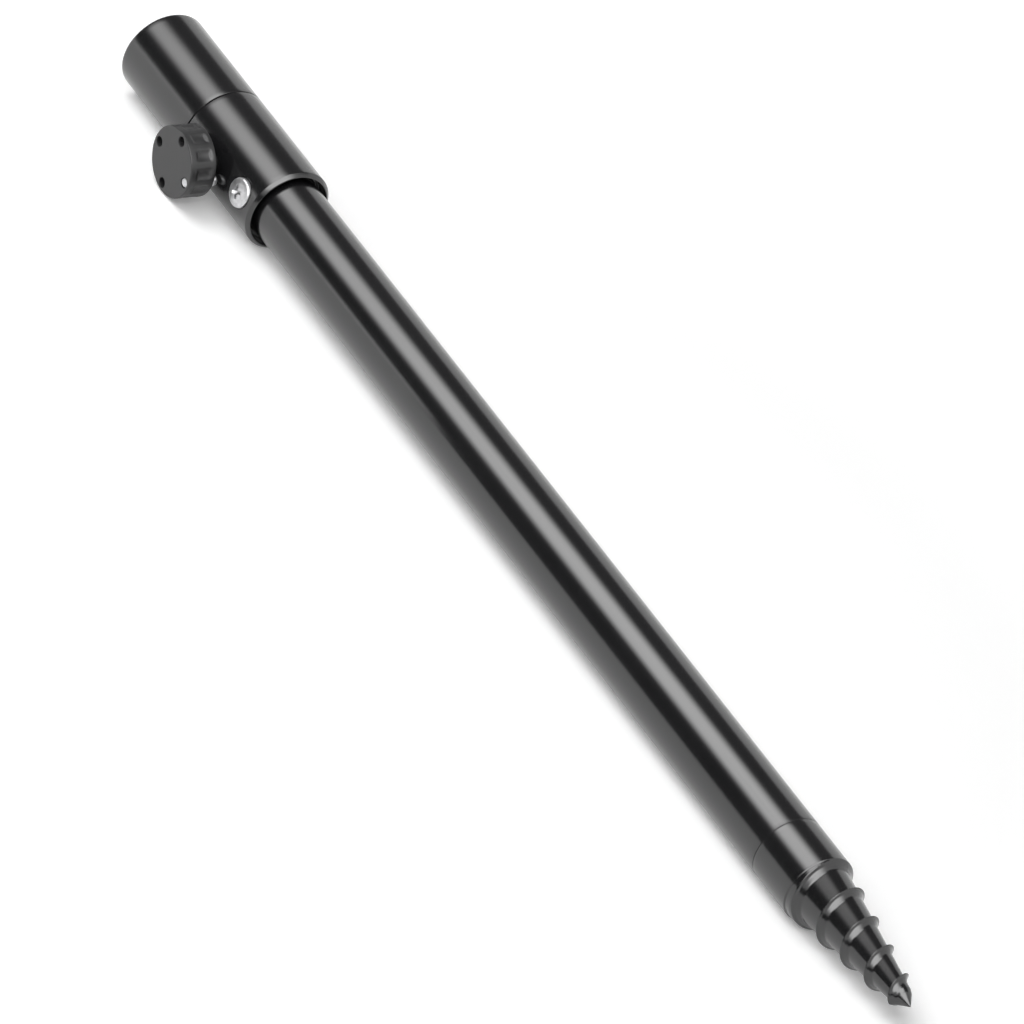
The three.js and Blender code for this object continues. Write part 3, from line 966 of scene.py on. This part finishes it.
def softbox(name, place, turn, size, full, radiance):
    """A soft lamp of a size. Its light is whole between two shares of its length and two of its
    width."""
    data = bpy.data.lights.new(name, "AREA")
    data.shape = "RECTANGLE"
    data.size, data.size_y = size
    data.energy = radiance * math.pi * data.size * data.size_y
    data.use_nodes = True
    graph = Graph(data.node_tree)
    place_on = graph.add("ShaderNodeNewGeometry").outputs["Parametric"]
    shares = graph.add("ShaderNodeSeparateXYZ", {"Vector": place_on}).outputs
    fades = (fade(graph, shares["X"], *full[0]), fade(graph, shares["Y"], *full[1]))
    emission = data.node_tree.nodes["Emission"]
    data.node_tree.links.new(graph.joined("MULTIPLY", *fades), emission.inputs["Strength"])
    lamp = bpy.data.objects.new(name, data)
    lamp.location = place
    lamp.rotation_euler = turn
    bpy.context.scene.collection.objects.link(lamp)
    return lamp


# Way from the stick to the softboxes over it, the way across, and the turn that faces the stick
KEY_TURN = math.radians(117.4)
KEY_DISTANCE = 1.15
FACING = (KEY_TURN - math.pi / 2, 0, 0)
away = Vector((0, math.cos(KEY_TURN), math.sin(KEY_TURN)))
across = Vector((0, math.sin(KEY_TURN), -math.cos(KEY_TURN)))


def softbox_over(name, along, side, full, radiance):
    """A softbox over the stick that faces it, between two places along it and two across."""
    middle = Vector((sum(along) / 2, 0, 0)) + across * sum(side) / 2
    place = STICK.origin + away * KEY_DISTANCE + middle
    size = (along[1] - along[0], side[1] - side[0])
    return softbox(name, place, FACING, size, full, radiance)


softbox_over(
    "key_left",
    along=(-1.6, -0.1),
    side=(-0.6, 0.88),
    full=((0.53, 0.58), (0.316, 0.549)),
    radiance=4.7,
)
key_top = softbox_over(
    "key_top",
    along=(-0.1, 0.5),
    side=(-0.6, 0.95),
    full=((0.3, 0.9), (0.3, 0.7)),
    radiance=5.0,
)

RIGHT_TURN = math.radians(48)
RIGHT_DISTANCE = 1.3
RIGHT_SIDE = -0.55
right_away = Vector((math.cos(RIGHT_TURN), 0, math.sin(RIGHT_TURN)))
key_right = softbox(
    "key_right",
    place=STICK.origin + right_away * RIGHT_DISTANCE + Vector((0, RIGHT_SIDE, 0)),
    turn=(0, math.pi / 2 - RIGHT_TURN, 0),
    size=(1.1, 2.1),
    full=((0.3, 0.7), (0.2, 0.72)),
    radiance=4.2,
)
sky_lamp = softbox_over(
    "sky_lamp",
    along=(-0.9, 0.9),
    side=(-0.74, 0.24),
    full=((0.1, 0.9), (0.15, 0.85)),
    radiance=5.2,
)
sky_lamp.visible_glossy = False
for lamp in (key_top, key_right):
    lamp.visible_diffuse = False


# Card of painted dark reflection behind the softboxes over the stick

BACK_DISTANCE = 1.3
BACK_WIDTH = 1.9
back_place = STICK.origin + away * BACK_DISTANCE + Vector((CARD_MIDDLE, 0, 0))
painted_reflection_card("back_reflection_card", (CARD_TO - CARD_FROM, BACK_WIDTH), back_place, FACING, TOP_REFLECTION_GREY)


# World: a little light from all round, and white where it is seen itself

FILL = 0.12
WHITE = 1.0

world = bpy.data.worlds.new("studio")
world.use_nodes = True
bpy.context.scene.world = world
sky = Graph(world.node_tree)
background = world.node_tree.nodes["Background"]
background.inputs["Color"].default_value = (WHITE, WHITE, WHITE, 1)
level = sky.ranged(seen_directly(sky), 0, 1, FILL, WHITE)
world.node_tree.links.new(level, background.inputs["Strength"])


# Camera, at the photograph's angle

CAMERA_LENS = 351.56
CAMERA_SENSOR = 36
CAMERA_DISTANCE = 2.0446
CAMERA_AZIMUTH = math.radians(44.539)
CAMERA_ELEVATION = math.radians(29.191)
CAMERA_ROLL = math.radians(26.348)
CAMERA_AIM = Vector((0.03, 3.41, 8.59)) * MM
CAMERA_NEAR, CAMERA_FAR = 0.01, 100

camera_data = bpy.data.cameras.new("camera")
camera_data.lens = CAMERA_LENS
camera_data.sensor_width = CAMERA_SENSOR
camera_data.clip_start = CAMERA_NEAR
camera_data.clip_end = CAMERA_FAR
camera = bpy.data.objects.new("camera", camera_data)
back = Vector((
    math.sin(CAMERA_AZIMUTH) * math.cos(CAMERA_ELEVATION),
    -math.cos(CAMERA_AZIMUTH) * math.cos(CAMERA_ELEVATION),
    math.sin(CAMERA_ELEVATION),
))
camera.location = CAMERA_AIM + back * CAMERA_DISTANCE
upright = back.to_track_quat("Z", "Y").to_matrix().to_4x4()
camera.rotation_euler = (upright @ Matrix.Rotation(CAMERA_ROLL, 4, "Z")).to_euler()
bpy.context.scene.collection.objects.link(camera)
bpy.context.scene.camera = camera

bpy.context.scene.view_settings.view_transform = "Standard"
